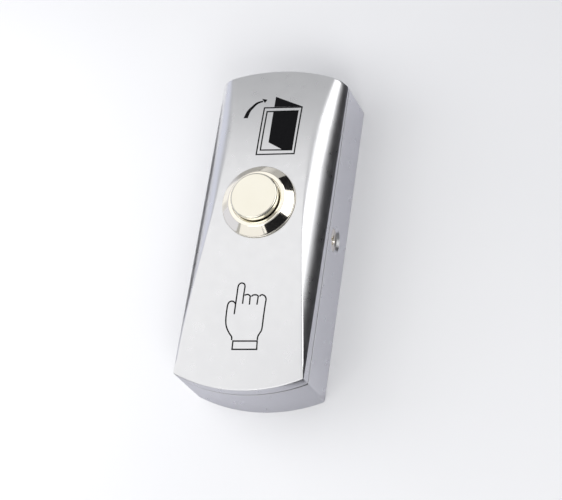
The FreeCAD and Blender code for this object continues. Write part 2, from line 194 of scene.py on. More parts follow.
def noise(material, place, grain, detail=2.0):
    """Noise whose spots are about grain wide, in metres."""
    texture = material.node_tree.nodes.new("ShaderNodeTexNoise")
    texture.inputs["Scale"].default_value = 1 / grain
    texture.inputs["Detail"].default_value = detail
    material.node_tree.links.new(place, texture.inputs["Vector"])
    return texture.outputs["Fac"]


def vary(material, factor, socket, low, high):
    """Drives a shader socket by a factor from 0 to 1, between two values or two colours."""
    nodes, links = material.node_tree.nodes, material.node_tree.links
    if socket.type == "RGBA":
        mix = nodes.new("ShaderNodeMix")
        mix.data_type = "RGBA"
        mix.inputs["A"].default_value = (*low, 1)
        mix.inputs["B"].default_value = (*high, 1)
        links.new(factor, mix.inputs["Factor"])
        links.new(mix.outputs["Result"], socket)
        return
    spread = nodes.new("ShaderNodeMapRange")
    spread.inputs["From Min"].default_value = 0.3
    spread.inputs["From Max"].default_value = 0.7
    spread.inputs["To Min"].default_value = low
    spread.inputs["To Max"].default_value = high
    links.new(factor, spread.inputs["Value"])
    links.new(spread.outputs["Result"], socket)


def relief(material, shader, height, depth, strength):
    """Fine relief of the surface, depth metres high."""
    nodes, links = material.node_tree.nodes, material.node_tree.links
    bump = nodes.new("ShaderNodeBump")
    bump.inputs["Distance"].default_value = depth
    bump.inputs["Strength"].default_value = strength
    links.new(height, bump.inputs["Height"])
    links.new(bump.outputs["Normal"], shader.inputs["Normal"])


table_paint, shader, place = new_material("table_white")
shader.inputs["Roughness"].default_value = 0.85
shader.inputs["Specular IOR Level"].default_value = 0.2
vary(table_paint, noise(table_paint, place, 0.06), shader.inputs["Base Color"],
     (0.86, 0.86, 0.875), (0.90, 0.90, 0.91))
floor_mesh = bmesh.new()
bmesh.ops.create_grid(floor_mesh, x_segments=4, y_segments=4, size=2.0)
floor_data = bpy.data.meshes.new("table_top")
floor_mesh.to_mesh(floor_data)
floor_mesh.free()
floor = bpy.data.objects.new("table_top", floor_data)
bpy.context.scene.collection.objects.link(floor)
floor_data.materials.append(table_paint)


# The front cover is a zinc die casting with a satin silver coat: an arched face, a shoulder along
# each long side that meets it in a crease, and arc-shaped ends. It is hollow, with a rim and two
# lugs that go down into the back box, and a flat sunk seat for the push button.
cover_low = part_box("front_cover")[0]
box_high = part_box("base_box")[1]
cap_low, cap_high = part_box("button_cap")
bezel_low, bezel_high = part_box("button_bezel")
screw_low, screw_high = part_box("cover_screw_right")
seal_low, seal_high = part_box("flange_seal")
half_width = box_high.x
half_length = box_high.y
seam_z = box_high.z
button_y = (cap_low.y + cap_high.y) / 2
flange_seat = seal_high.z
end_radius = 40.0 * mm
corner_radius = 0.6 * mm
crown_radius = 220.0 * mm
crown_rise = 4.85 * mm
shoulder_radius = 8.0 * mm
shoulder_inset = 4.5 * mm
shoulder_fall = math.tan(math.radians(2.0))
crease_tight, crease_soft = 0.6 * mm, 6.0 * mm
soft_from, soft_to = -5.0 * mm, 20.0 * mm
end_round = 0.5 * mm
cover_wall = 1.8 * mm
base_wall = 2.0 * mm
fit_gap = 0.15 * mm
seam_chamfer = 0.06 * mm
seam_groove, groove_depth = 0.45 * mm, 0.8 * mm
flange_radius = bezel_high.x
barrel_radius = 8.0 * mm
crown_z = flange_seat + crown_radius - math.sqrt(crown_radius ** 2 - (button_y + flange_radius) ** 2)
wall_top_z = crown_z - crown_rise
shoulder_chord = math.hypot(shoulder_inset, crown_rise)
shoulder_reach = math.sqrt(shoulder_radius ** 2 - shoulder_chord ** 2 / 4)
shoulder_x = half_width - shoulder_inset / 2 - shoulder_reach * crown_rise / shoulder_chord
shoulder_z = wall_top_z + crown_rise / 2 - shoulder_reach * shoulder_inset / shoulder_chord
face_columns, round_columns, shoulder_columns, length_rows = 20, 10, 20, 150
end_round_rows, settle_rounds, least_shoulder_turn = 4, 4, math.radians(5)


def outline_parts(inset):
    """Middle of the end arc, its radius, and the middle of the corner arc, in plan."""
    middle = half_length - end_radius
    radius = end_radius - inset
    corner_x = half_width - inset - corner_radius
    corner_y = middle + math.sqrt((radius - corner_radius) ** 2 - corner_x ** 2)
    return middle, radius, corner_x, corner_y


def outline_reach(x, inset):
    """How far the plan outline reaches along the length at x, and its outward direction there."""
    middle, radius, corner_x, corner_y = outline_parts(inset)
    turn = math.atan2(corner_x, corner_y - middle)
    if abs(x) <= radius * math.sin(turn):
        reach = middle + math.sqrt(radius ** 2 - x ** 2)
        return reach, Vector((x, reach - middle)).normalized()
    over = min(abs(x) - corner_x, corner_radius)
    rise = math.sqrt(max(0.0, corner_radius ** 2 - over ** 2))
    outward = Vector((math.copysign(over, x), rise)).normalized()
    return corner_y + rise, outward


def outline_place(share, inset):
    """Point of a quarter of the outline: share 0 to 1 end arc, to 2 corner arc, to 3 long side."""
    middle, radius, corner_x, corner_y = outline_parts(inset)
    corner_turn = math.atan2(corner_x, corner_y - middle)
    if share <= 1:
        turn = corner_turn * share
        return radius * math.sin(turn), middle + radius * math.cos(turn)
    if share <= 2:
        turn = corner_turn + (math.pi / 2 - corner_turn) * (share - 1)
        return corner_x + corner_radius * math.sin(turn), corner_y + corner_radius * math.cos(turn)
    return half_width - inset, corner_y * (3 - share)


def outline_share(x, y, inset):
    """The share at which a point of the outline lies, the other way round from outline_place."""
    middle, radius, corner_x, corner_y = outline_parts(inset)
    x, y = abs(x), abs(y)
    corner_turn = math.atan2(corner_x, corner_y - middle)
    if y <= corner_y:
        return 3 - y / corner_y
    if math.atan2(x, y - middle) <= corner_turn:
        return math.atan2(x, y - middle) / corner_turn
    turn = math.atan2(x - corner_x, y - corner_y)
    return 1 + (turn - corner_turn) / (math.pi / 2 - corner_turn)


def face_height(y, inset=0.0):
    return crown_z - crown_radius + math.sqrt((crown_radius - inset) ** 2 - y ** 2)


def crease_round(y):
    """The crease is sharp in the near half and melts away towards the far end."""
    part = min(1.0, max(0.0, (y - soft_from) / (soft_to - soft_from)))
    return crease_tight + (crease_soft - crease_tight) * part * part * (3 - 2 * part)


def across(step, y, inset):
    """Place across the width of one column of the skin: face, soft crease, then shoulder."""
    height = face_height(y, inset)
    radius = shoulder_radius - inset
    centre_z = shoulder_z - shoulder_fall * y
    edge_turn = math.asin(min(1.0, (half_width - inset - shoulder_x) / radius))
    last_turn = edge_turn - least_shoulder_turn
    room = height - centre_z
    soft = (room - radius * math.cos(last_turn)) / (1 - math.cos(last_turn))
    soft = max(0.05 * mm, min(crease_round(y) - inset, soft))
    crease_turn = math.acos((room - soft) / (radius - soft))
    soft_x = shoulder_x + (radius - soft) * math.sin(crease_turn)
    if step <= face_columns:
        return soft_x * step / face_columns, height
    step -= face_columns
    if step <= round_columns:
        turn = crease_turn * step / round_columns
        return soft_x + soft * math.sin(turn), height - soft + soft * math.cos(turn)
    step -= round_columns
    turn = crease_turn + (edge_turn - crease_turn) * step / shoulder_columns
    return shoulder_x + radius * math.sin(turn), centre_z + radius * math.cos(turn)


def crowned_skin(bm, inset, rounding):
    """The arched face with its shoulders and rounded ends, laid onto a grid. Gives its rim edges."""
    other_rim = {e for e in bm.edges if e.is_boundary}
    half_columns = face_columns + round_columns + shoulder_columns
    end_rows = end_round_rows if rounding else 0
    half_rows = length_rows // 2 + end_rows
    grid = bmesh.ops.create_grid(bm, x_segments=2 * half_columns, y_segments=2 * half_rows, size=1.0)
    for v in grid["verts"]:
        column = round(v.co.x * half_columns)
        row = round(v.co.y * half_rows)
        side = 1 if column >= 0 else -1
        end = 1 if row >= 0 else -1
        along = min(1.0, abs(row) / (half_rows - end_rows))
        past = max(0, abs(row) - (half_rows - end_rows))
        turn = math.radians(90) * past / max(1, end_rows)
        y = along * half_length
        for _ in range(settle_rounds):
            x, z = across(abs(column), end * y, inset)
            reach, outward = outline_reach(x, inset)
            soft = rounding * outward.y ** 2
            y = along * (reach - soft)
        x, z = across(abs(column), end * y, inset)
        reach, outward = outline_reach(x, inset)
        if past:
            y = reach - soft * (1 - math.sin(turn))
            z -= soft * (1 - math.cos(turn))
        v.co = Vector((side * x, end * y, z))
    bmesh.ops.remove_doubles(bm, verts=grid["verts"], dist=1e-7)
    return [e for e in bm.edges if e.is_boundary and e not in other_rim]


def wall_strip(bm, edges, old_inset, inset, z):
    """One more strip of an upright or flat wall: a loop on the outline drawn to the next one."""
    grown = bmesh.ops.extrude_edge_only(bm, edges=list(dict.fromkeys(edges)))["geom"]
    for v in [g for g in grown if isinstance(g, bmesh.types.BMVert)]:
        x, y = outline_place(outline_share(v.co.x, v.co.y, old_inset), inset)
        v.co = Vector((math.copysign(x, v.co.x), math.copysign(y, v.co.y), z))
    return [g for g in grown if isinstance(g, bmesh.types.BMEdge)]


def link_piece(name, bm, body=None):
    """Turns a finished bmesh into a piece, which rides on a body if one is named."""
    data = bpy.data.meshes.new(name)
    bm.to_mesh(data)
    bm.free()
    piece = bpy.data.objects.new(name, data)
    bpy.context.scene.collection.objects.link(piece)
    if body:
        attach(piece, body)
    return piece


def machine(piece, bm, operation):
    """Cuts a shape out of a piece, or joins it on, and keeps the result as the piece's mesh."""
    data = bpy.data.meshes.new("tool")
    bm.to_mesh(data)
    bm.free()
    tool = bpy.data.objects.new("tool", data)
    bpy.context.scene.collection.objects.link(tool)
    step = piece.modifiers.new("machine", "BOOLEAN")
    step.operation = operation
    step.solver = "EXACT"
    step.object = tool
    graph = bpy.context.evaluated_depsgraph_get()
    done = bpy.data.meshes.new_from_object(piece.evaluated_get(graph))
    piece.modifiers.clear()
    piece.data = done
    bpy.data.objects.remove(tool)


def round_bar(radius, low, high, place, axis="Z", segments=128):
    """A round bar between two heights along an axis, as a cutter or a boss."""
    bm = bmesh.new()
    bmesh.ops.create_cone(
        bm, cap_ends=True, segments=segments, radius1=radius, radius2=radius, depth=high - low
    )
    bmesh.ops.translate(bm, verts=bm.verts, vec=(0, 0, (low + high) / 2))
    if axis == "X":
        bmesh.ops.rotate(bm, verts=bm.verts, cent=(0, 0, 0), matrix=Matrix.Rotation(math.pi / 2, 3, "Y"))
    bmesh.ops.translate(bm, verts=bm.verts, vec=place)
    return bm


def shade(piece, degrees):
    """Smooth shading with hard edges above an angle, once slivers from the cuts are gone."""
    bm = bmesh.new()
    bm.from_mesh(piece.data)
    bmesh.ops.triangulate(bm, faces=[f for f in bm.faces if len(f.verts) > 4])
    bmesh.ops.dissolve_degenerate(bm, edges=bm.edges, dist=1e-7)
    bm.to_mesh(piece.data)
    bm.free()
    piece.data.shade_smooth()
    piece.data.set_sharp_from_angle(angle=math.radians(degrees))


def dress(piece, material):
    piece.data.materials.clear()
    piece.data.materials.append(material)


silver_coat, shader, place = new_material("satin_silver_coat")
shader.inputs["Metallic"].default_value = 1.0
vary(silver_coat, noise(silver_coat, place, 9 * mm), shader.inputs["Base Color"],
     (0.775, 0.775, 0.785), (0.80, 0.80, 0.805))
vary(silver_coat, noise(silver_coat, place, 2.5 * mm, 3.0), shader.inputs["Roughness"], 0.27, 0.32)
relief(silver_coat, shader, noise(silver_coat, place, 0.25 * mm, 3.0), 0.004 * mm, 0.10)

skirt_outside = base_wall + fit_gap
skirt_inside = skirt_outside + 1.2 * mm
skirt_z = seam_z - 2.2 * mm
root_z, root_chamfer = seam_z + 0.35 * mm, 0.2 * mm
bm = bmesh.new()
rim = crowned_skin(bm, 0, end_round)
rim = wall_strip(bm, rim, 0, 0, seam_z + seam_groove)
rim = wall_strip(bm, rim, 0, groove_depth, seam_z + seam_groove)
rim = wall_strip(bm, rim, groove_depth, groove_depth, seam_z)
rim = wall_strip(bm, rim, groove_depth, skirt_outside, seam_z)
rim = wall_strip(bm, rim, skirt_outside, skirt_outside, skirt_z)
rim = wall_strip(bm, rim, skirt_outside, skirt_inside, skirt_z)
rim = wall_strip(bm, rim, skirt_inside, skirt_inside, root_z)
inner_rim = crowned_skin(bm, cover_wall, 0)
inner_rim = wall_strip(bm, inner_rim, cover_wall, cover_wall, root_z + root_chamfer)
bmesh.ops.bridge_loops(bm, edges=rim + inner_rim)
bmesh.ops.recalc_face_normals(bm, faces=bm.faces)
cover_shell = link_piece("cover_shell", bm, "housing")
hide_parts("front_cover")

screw_z = (screw_low.z + screw_high.z) / 2
lug_outside, lug_inside, lug_half = half_width - skirt_outside, 11.25 * mm, 4.0 * mm
lug_foot, lug_step, lug_top = cover_low.z, seam_z + 0.3 * mm, seam_z + 2.2 * mm
lug_root = lug_outside + 0.5 * mm
for side in (1, -1):
    bm = bmesh.new()
    section = [
        (lug_inside, lug_foot), (lug_outside, lug_foot), (lug_outside, lug_step),
        (lug_root, lug_step), (lug_root, lug_top), (lug_inside, lug_top),
    ]
    lug_face = bm.faces.new([bm.verts.new((side * x, -lug_half, z)) for x, z in section])
    grown = bmesh.ops.extrude_face_region(bm, geom=[lug_face], use_keep_orig=True)["geom"]
    moved = [g for g in grown if isinstance(g, bmesh.types.BMVert)]
    bmesh.ops.translate(bm, verts=moved, vec=(0, 2 * lug_half, 0))
    bmesh.ops.recalc_face_normals(bm, faces=bm.faces)
    machine(cover_shell, bm, "UNION")
axis_place = (0, button_y, 0)
boss_radius, boss_low, boss_height = 10.3 * mm, flange_seat - 2.0 * mm, 1.0 * mm
seat_gap, seal_groove, tap_radius = 0.1 * mm, 0.75 * mm, 1.52 * mm
above = crown_z + 10 * mm
machine(cover_shell, round_bar(boss_radius, boss_low, boss_low + boss_height, axis_place), "UNION")
for radius, foot in (
    (barrel_radius + seat_gap, boss_low - mm), (flange_radius + seat_gap, flange_seat),
    (barrel_radius + seal_groove, seal_low.z),
):
    machine(cover_shell, round_bar(radius, foot, above, axis_place), "DIFFERENCE")
tap = round_bar(tap_radius, -half_width, half_width, (0, 0, screw_z), "X", segments=48)
machine(cover_shell, tap, "DIFFERENCE")
dress(cover_shell, silver_coat)
shade(cover_shell, 15)


# The back box is the other zinc casting, coated like the cover. It is an open tray with a
# countersunk hole in each long wall for the cover screws, and its floor is screwed to the wall
# of the building over the cable opening.
def turned_piece(profile, steps=160):
    """Body turned about Z from a closed half section of (radius, height), poles closed."""
    bm = bmesh.new()
    corners = [bm.verts.new((radius, 0, height)) for radius, height in profile]
    edges = [bm.edges.new((corners[i - 1], corners[i])) for i in range(len(corners))]
    bmesh.ops.spin(
        bm, geom=corners + edges, cent=(0, 0, 0), axis=(0, 0, 1), dvec=(0, 0, 0),
        angle=2 * math.pi, steps=steps, use_merge=True, use_duplicate=False,
    )
    bmesh.ops.remove_doubles(bm, verts=bm.verts, dist=1e-7)
    bmesh.ops.dissolve_degenerate(bm, edges=bm.edges, dist=1e-8)
    bmesh.ops.recalc_face_normals(bm, faces=bm.faces)
    return bm


floor_thickness = 2.0 * mm
foot_round, foot_steps = 0.3 * mm, 4
quarter_steps = 36
sink_mouth, sink_over, screw_room = 3.37 * mm, 0.5 * mm, 1.65 * mm
wall_hole_radius, wall_hole_y = 2.25 * mm, 30 * mm
cable_width, cable_length, cable_y, cable_round = 13 * mm, 10 * mm, -16 * mm, 1.5 * mm
bm = bmesh.new()
loop = bmesh.ops.create_circle(bm, cap_ends=True, segments=4 * quarter_steps, radius=1.0)["verts"]
for v in loop:
    share = 3 * math.atan2(abs(v.co.x), abs(v.co.y)) / (math.pi / 2)
    x, y = outline_place(share, foot_round)
    v.co = Vector((math.copysign(x, v.co.x), math.copysign(y, v.co.y), 0))
rim, inset = list(bm.edges), foot_round
for i in range(1, foot_steps + 1):
    turn = math.radians(90) * i / foot_steps
    next_inset = foot_round * (1 - math.sin(turn))
    rim = wall_strip(bm, rim, inset, next_inset, foot_round * (1 - math.cos(turn)))
    inset = next_inset
rim = wall_strip(bm, rim, 0, 0, seam_z - seam_chamfer)
rim = wall_strip(bm, rim, 0, seam_chamfer, seam_z)
rim = wall_strip(bm, rim, seam_chamfer, base_wall, seam_z)
rim = wall_strip(bm, rim, base_wall, base_wall, floor_thickness)
bmesh.ops.contextual_create(bm, geom=rim)
bmesh.ops.recalc_face_normals(bm, faces=bm.faces)
back_box = link_piece("back_box", bm, "housing")
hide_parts("base_box")
for side in (1, -1):
    hole_place = (0, side * wall_hole_y, 0)
    wall_hole = round_bar(wall_hole_radius, -mm, floor_thickness + mm, hole_place, segments=96)
    machine(back_box, wall_hole, "DIFFERENCE")
    sink = turned_piece([
        (0, half_width + sink_over), (sink_mouth + sink_over, half_width + sink_over),
        (screw_room, half_width - sink_mouth + screw_room), (screw_room, half_width - 2 * base_wall),
        (0, half_width - 2 * base_wall),
    ], 96)
    outwards = Matrix.Rotation(side * math.pi / 2, 3, "Y")
    bmesh.ops.rotate(sink, verts=sink.verts, cent=(0, 0, 0), matrix=outwards)
    bmesh.ops.translate(sink, verts=sink.verts, vec=(0, 0, screw_z))
    machine(back_box, sink, "DIFFERENCE")
bm = bmesh.new()
bmesh.ops.create_cube(bm, size=1.0)
bmesh.ops.scale(bm, verts=bm.verts, vec=(cable_width, cable_length, 3 * floor_thickness))
bmesh.ops.translate(bm, verts=bm.verts, vec=(0, cable_y, 0))
upright = [e for e in bm.edges if abs(e.verts[0].co.z - e.verts[1].co.z) > mm]
bmesh.ops.bevel(bm, geom=upright, offset=cable_round, offset_type="OFFSET", affect="EDGES",
                segments=8, profile=0.5, material=-1)
machine(back_box, bm, "DIFFERENCE")
dress(back_box, silver_coat)
shade(back_box, 15)


# Two countersunk screws hold the cover: nickel-plated steel, turned, with a cross recess struck
# into the head. Each goes through a long wall of the box into a lug of the cover.
def ease_edge(bm, radius, height, offset, segments=3):
    """Rounds the circular edge of a turned body at one radius and height."""
    def on_circle(v):
        near = abs(math.hypot(v.co.x, v.co.y) - radius) < 1e-6
        return near and abs(v.co.z - height) < 1e-6

    edges = [e for e in bm.edges if on_circle(e.verts[0]) and on_circle(e.verts[1])]
    bmesh.ops.bevel(bm, geom=edges, offset=offset, offset_type="OFFSET", affect="EDGES",
                    segments=segments, profile=0.5, material=-1)


screw_nickel, shader, place = new_material("plated_screw_steel")
shader.inputs["Metallic"].default_value = 1.0
vary(screw_nickel, noise(screw_nickel, place, 1.5 * mm), shader.inputs["Base Color"],
     (0.80, 0.75, 0.66), (0.88, 0.84, 0.76))
vary(screw_nickel, noise(screw_nickel, place, 0.5 * mm, 3.0), shader.inputs["Roughness"], 0.14, 0.26)
relief(screw_nickel, shader, noise(screw_nickel, place, 0.15 * mm, 3.0), 0.004 * mm, 0.3)

head_radius, shank_radius = 2.8 * mm, 1.5 * mm
head_top, shank_end = screw_high.x, screw_low.x
thread_pitch, thread_depth = 0.6 * mm, 0.22 * mm
plain_neck, tip_chamfer, head_ease = 1.0 * mm, 0.4 * mm, 0.1 * mm
cross_depth, cross_long, cross_short = 1.1 * mm, 1.6 * mm, 0.4 * mm
second_slot_depth, taper_long, taper_short = 0.95, 0.45, 0.7
for name, side in (("cover_screw_right", 1), ("cover_screw_left", -1)):
    neck = head_top - (head_radius - shank_radius)
    profile = [(0, head_top), (head_radius, head_top), (shank_radius, neck)]
    turns = int((neck - shank_end - 1.6 * mm) / thread_pitch)
    for i in range(turns):
        crest = neck - plain_neck - i * thread_pitch
        profile.append((shank_radius, crest))
        profile.append((shank_radius - thread_depth, crest - thread_pitch / 2))
    profile += [
        (shank_radius, shank_end + tip_chamfer), (shank_radius - tip_chamfer, shank_end), (0, shank_end),
    ]
    bm = turned_piece(profile, 72)
    ease_edge(bm, head_radius, head_top, head_ease)
    outwards = Matrix.Rotation(side * math.pi / 2, 3, "Y")
    bmesh.ops.rotate(bm, verts=bm.verts, cent=(0, 0, 0), matrix=outwards)
    bmesh.ops.translate(bm, verts=bm.verts, vec=(0, 0, screw_z))
    piece = link_piece(name + "_body", bm, "housing")
    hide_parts(name)
    for long_way, short_way in ((cross_long, cross_short), (cross_short, cross_long)):
        bm = bmesh.new()
        bmesh.ops.create_cube(bm, size=2.0)
        depth = cross_depth if long_way > short_way else second_slot_depth * cross_depth
        bmesh.ops.scale(bm, verts=bm.verts, vec=(depth, long_way, short_way))
        for v in bm.verts:
            if v.co.x < 0:
                v.co.y *= taper_long if long_way > short_way else taper_short
                v.co.z *= taper_long if long_way < short_way else taper_short
            v.co.x *= side
        bmesh.ops.translate(bm, verts=bm.verts, vec=(side * head_top, 0, screw_z))
        bmesh.ops.recalc_face_normals(bm, faces=bm.faces)
        machine(piece, bm, "DIFFERENCE")
    dress(piece, screw_nickel)
    shade(piece, 30)


# The bezel of the push button is turned from brass in one piece with its threaded barrel, then
# polished and nickel plated. Its bevelled flange sits in the cover's seat, and its inward lip
# keeps the cap in.
def polished_nickel(name, warm, cool, smooth, dull):
    """Bright plating over turned metal: a mirror with faint lathe rings and handling haze."""
    material, shader, place = new_material(name)
    nodes, links = material.node_tree.nodes, material.node_tree.links
    shader.inputs["Metallic"].default_value = 1.0
    vary(material, noise(material, place, 5 * mm), shader.inputs["Base Color"], warm, cool)
    vary(material, noise(material, place, 2 * mm, 4.0), shader.inputs["Roughness"], smooth, dull)
    centre = nodes.new("ShaderNodeMapping")
    centre.inputs["Location"].default_value = (0, -button_y, 0)
    rings = nodes.new("ShaderNodeTexWave")
    rings.wave_type = "RINGS"
    rings.rings_direction = "Z"
    rings.inputs["Scale"].default_value = 900.0
    rings.inputs["Distortion"].default_value = 0.6
    links.new(place, centre.inputs["Vector"])
    links.new(centre.outputs["Vector"], rings.inputs["Vector"])
    relief(material, shader, rings.outputs["Fac"], 0.0006 * mm, 0.35)
    return material


bezel_nickel = polished_nickel("bezel_plating", (0.88, 0.83, 0.72), (0.92, 0.88, 0.79), 0.05, 0.09)
lip_radius, bore_radius, ring_land = 6.05 * mm, 6.6 * mm, 0.95 * mm
flange_rim, lip_thickness = 0.92 * mm, 1.2 * mm
bezel_top, barrel_end = bezel_high.z, bezel_low.z
pitch, root_radius = 1.0 * mm, barrel_radius - 0.45 * mm
bevel_run = Vector((flange_radius - lip_radius - ring_land, flange_seat + flange_rim - bezel_top))
bevel_top = Vector((lip_radius + ring_land, bezel_top))
# More corners close to the edges keep the land and the bevel flat in their shading.
land_guard, bevel_guard_top, bevel_guard_foot = 0.2 * mm, 0.1, 0.88
profile = [
    (lip_radius, bezel_top), (lip_radius + land_guard, bezel_top), (bevel_top.x - land_guard, bezel_top),
    tuple(bevel_top), tuple(bevel_top + bevel_run * bevel_guard_top),
    tuple(bevel_top + bevel_run * bevel_guard_foot),
    (flange_radius, flange_seat + flange_rim), (flange_radius, flange_seat), (barrel_radius, flange_seat),
]
crest = flange_seat - 1.2 * mm
while crest > barrel_end + 1.4 * pitch:
    profile += [(barrel_radius, crest), (root_radius, crest - pitch / 2)]
    crest -= pitch
profile += [
    (barrel_radius, crest), (barrel_radius, barrel_end + 0.4 * mm), (barrel_radius - 0.4 * mm, barrel_end),
    (bore_radius, barrel_end), (bore_radius, bezel_top - lip_thickness),
    (lip_radius, bezel_top - lip_thickness),
]
bm = turned_piece(profile)
ease_edge(bm, lip_radius, bezel_top, 0.08 * mm)
ease_edge(bm, lip_radius + ring_land, bezel_top, 0.10 * mm)
ease_edge(bm, flange_radius, flange_seat + flange_rim, 0.16 * mm, 4)
bmesh.ops.translate(bm, verts=bm.verts, vec=axis_place)
bezel = link_piece("bezel_turned", bm, "housing")
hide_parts("button_bezel")
dress(bezel, bezel_nickel)
shade(bezel, 30)


# The cap is the part that a finger presses: a thin-walled turned cup, plated like the bezel, with
# a wide lower part that slides in the barrel and stops under the lip.
cap_nickel = polished_nickel("cap_plating", (0.80, 0.765, 0.655), (0.84, 0.81, 0.71), 0.07, 0.12)
cap_radius, cap_guide_radius, cap_wall = 5.8 * mm, cap_high.x, 0.9 * mm
cap_top, cap_foot = cap_high.z, cap_low.z
cap_ceiling = cap_top - 1.4 * mm
cap_step = bezel_top - lip_thickness - 0.05 * mm
cap_guard = 0.7 * mm
bm = turned_piece([
    (0, cap_ceiling), (0, cap_top), (cap_radius - cap_guard, cap_top), (cap_radius, cap_top),
    (cap_radius, cap_top - cap_guard), (cap_radius, cap_step),
    (cap_guide_radius, cap_step), (cap_guide_radius, cap_foot),
    (cap_radius - cap_wall, cap_foot), (cap_radius - cap_wall, cap_ceiling),
])
ease_edge(bm, cap_radius, cap_top, 0.45 * mm, 6)
ease_edge(bm, cap_guide_radius, cap_step, 0.08 * mm)
bmesh.ops.translate(bm, verts=bm.verts, vec=axis_place)
cap = link_piece("cap_turned", bm, "button")
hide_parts("button_cap")
dress(cap, cap_nickel)
shade(cap, 30)


# Two signs are printed on the face in black ink: an opening door with an arrow, and a hand that
# points at the button. Each is a skin of ink a few hundredths of a millimetre thick.
sign_ink, shader, place = new_material("sign_ink")
shader.inputs["Roughness"].default_value = 0.6
shader.inputs["Specular IOR Level"].default_value = 0.06
vary(sign_ink, noise(sign_ink, place, 0.6 * mm), shader.inputs["Base Color"],
     (0.004, 0.004, 0.005), (0.008, 0.008, 0.009))
ink_sunk, ink_proud, line_width = 0.012 * mm, 0.018 * mm, 0.34 * mm


def lay_on_face(bm):
    """Bends a flat shape over the arch of the face, slightly sunk in it."""
    for v in bm.verts:
        v.co.z += face_height(v.co.y) - ink_sunk
    bmesh.ops.recalc_face_normals(bm, faces=bm.faces)


def raise_ink(bm):
    """Gives a flat shape the thickness of the ink and lays it on the face."""
    grown = bmesh.ops.extrude_face_region(bm, geom=list(bm.faces), use_keep_orig=True)["geom"]
    top = [g for g in grown if isinstance(g, bmesh.types.BMVert)]
    bmesh.ops.translate(bm, verts=top, vec=(0, 0, ink_sunk + ink_proud))
    lay_on_face(bm)


def smooth_line(points, steps=6):
    """A smooth curve through a few points, in millimetres."""
    knots = [Vector((x, y)) for x, y in points]
    line = [knots[0]]
    for i in range(len(knots) - 1):
        before, after = knots[max(i - 1, 0)], knots[min(i + 2, len(knots) - 1)]
        leave = knots[i] + (knots[i + 1] - before) / 6
        arrive = knots[i + 1] - (after - knots[i]) / 6
        for step in range(1, steps + 1):
            t = step / steps
            line.append(
                knots[i] * (1 - t) ** 3 + leave * 3 * t * (1 - t) ** 2
                + arrive * 3 * t * t * (1 - t) + knots[i + 1] * t ** 3
            )
    return line


def ink_line(points, closed=False):
    """A printed line of even width: an upright strip along the points, given its width."""
    bm = bmesh.new()
    corners = [bm.verts.new((x * mm, y * mm, 0)) for x, y in points]
    pairs = list(zip(corners, corners[1:])) + ([(corners[-1], corners[0])] if closed else [])
    edges = [bm.edges.new(pair) for pair in pairs]
    longest = max(e.calc_length() for e in edges)
    if longest > 1.2 * mm:
        bmesh.ops.subdivide_edges(bm, edges=edges, cuts=math.ceil(longest / mm))
    grown = bmesh.ops.extrude_edge_only(bm, edges=list(bm.edges))["geom"]
    top = [g for g in grown if isinstance(g, bmesh.types.BMVert)]
    bmesh.ops.translate(bm, verts=top, vec=(0, 0, ink_sunk + ink_proud))
    bmesh.ops.solidify(bm, geom=list(bm.faces), thickness=line_width)
    lay_on_face(bm)
    return bm


def ink_field(points):
    """A printed field, cut into narrow rows so that it follows the arch."""
    bm = bmesh.new()
    bm.faces.new([bm.verts.new((x * mm, y * mm, 0)) for x, y in points])
    row = math.ceil(min(y for x, y in points))
    while row < max(y for x, y in points):
        bmesh.ops.bisect_plane(bm, geom=list(bm.verts) + list(bm.edges) + list(bm.faces),
                               dist=1e-7, plane_co=(0, row * mm, 0), plane_no=(0, 1, 0))
        row += 1
    raise_ink(bm)
    return bm


def ink_arrow(spine, tail_width, neck_width, head):
    """A bent arrow: a strip that narrows along its spine, and a three-cornered head."""
    bm = bmesh.new()
    strip = None
    for i, point in enumerate(spine):
        part = i / (len(spine) - 1)
        ahead = (spine[min(i + 1, len(spine) - 1)] - spine[max(i - 1, 0)]).normalized()
        width = tail_width + (neck_width - tail_width) * part
        side = Vector((-ahead.y, ahead.x)) * width / 2
        if i == 0:
            side = Vector((-width / 2, 0))
            strip = bm.edges.new([bm.verts.new((*(point + s * side) * mm, 0)) for s in (1, -1)])
            continue
        left, right = strip.verts
        grown = bmesh.ops.extrude_edge_only(bm, edges=[strip])["geom"]
        strip = [g for g in grown if isinstance(g, bmesh.types.BMEdge)][0]
        for v in strip.verts:
            nearer_left = (v.co - left.co).length < (v.co - right.co).length
            v.co = Vector((*(point + (1 if nearer_left else -1) * side) * mm, 0))
    bm.faces.new([bm.verts.new((x * mm, y * mm, 0)) for x, y in head])
    raise_ink(bm)
    return bm


def print_sign(name, shapes):
    """Joins the shapes of one sign into one piece."""
    whole = bmesh.new()
    for shape in shapes:
        data = bpy.data.meshes.new("shape")
        shape.to_mesh(data)
        shape.free()
        whole.from_mesh(data)
        bpy.data.meshes.remove(data)
    piece = link_piece(name, whole, "housing")
    dress(piece, sign_ink)
    return piece


